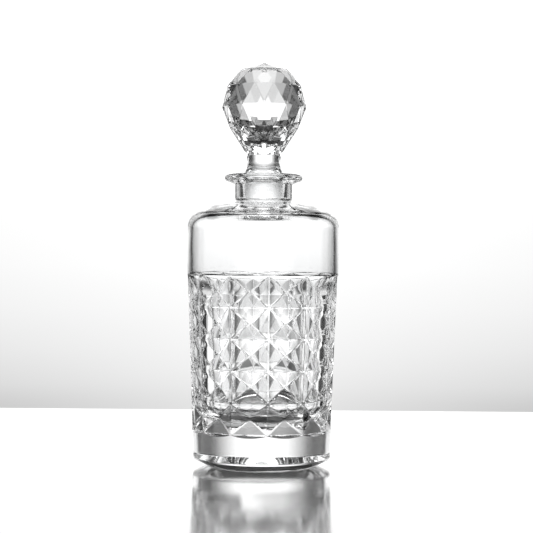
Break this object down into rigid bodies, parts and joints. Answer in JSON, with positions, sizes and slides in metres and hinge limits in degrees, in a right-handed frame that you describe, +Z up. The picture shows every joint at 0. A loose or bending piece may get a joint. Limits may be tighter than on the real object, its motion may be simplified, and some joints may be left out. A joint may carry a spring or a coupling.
{
  "type": "cut crystal decanter",
  "caption": "Tall round crystal decanter with a thick base, a cut field of four-sided hollows, a short neck with a flared lip, and a faceted ball stopper.",
  "frame": {"origin": "middle of the flat that the bottle stands on", "axes": "+Z up along the bottle's axis, towards the stopper; a groove between two columns of the cutting faces -Y"},
  "size_m": [0.0996, 0.0996, 0.2652],
  "materials": {
    "bottle_crystal": "clear crystal, cut and fire polished",
    "stopper_crystal": "clear crystal, cut and polished, with a ground plug"
  },
  "bodies": {
    "bottle": {"bottle": "bottle_crystal"},
    "stopper": {"stopper": "stopper_crystal"}
  },
  "joints": [
    {"name": "stopper_lift", "type": "slide", "parent": "bottle", "child": "stopper", "axis": [0, 0, 1], "range_m": [0, 0.04]}
  ]
}
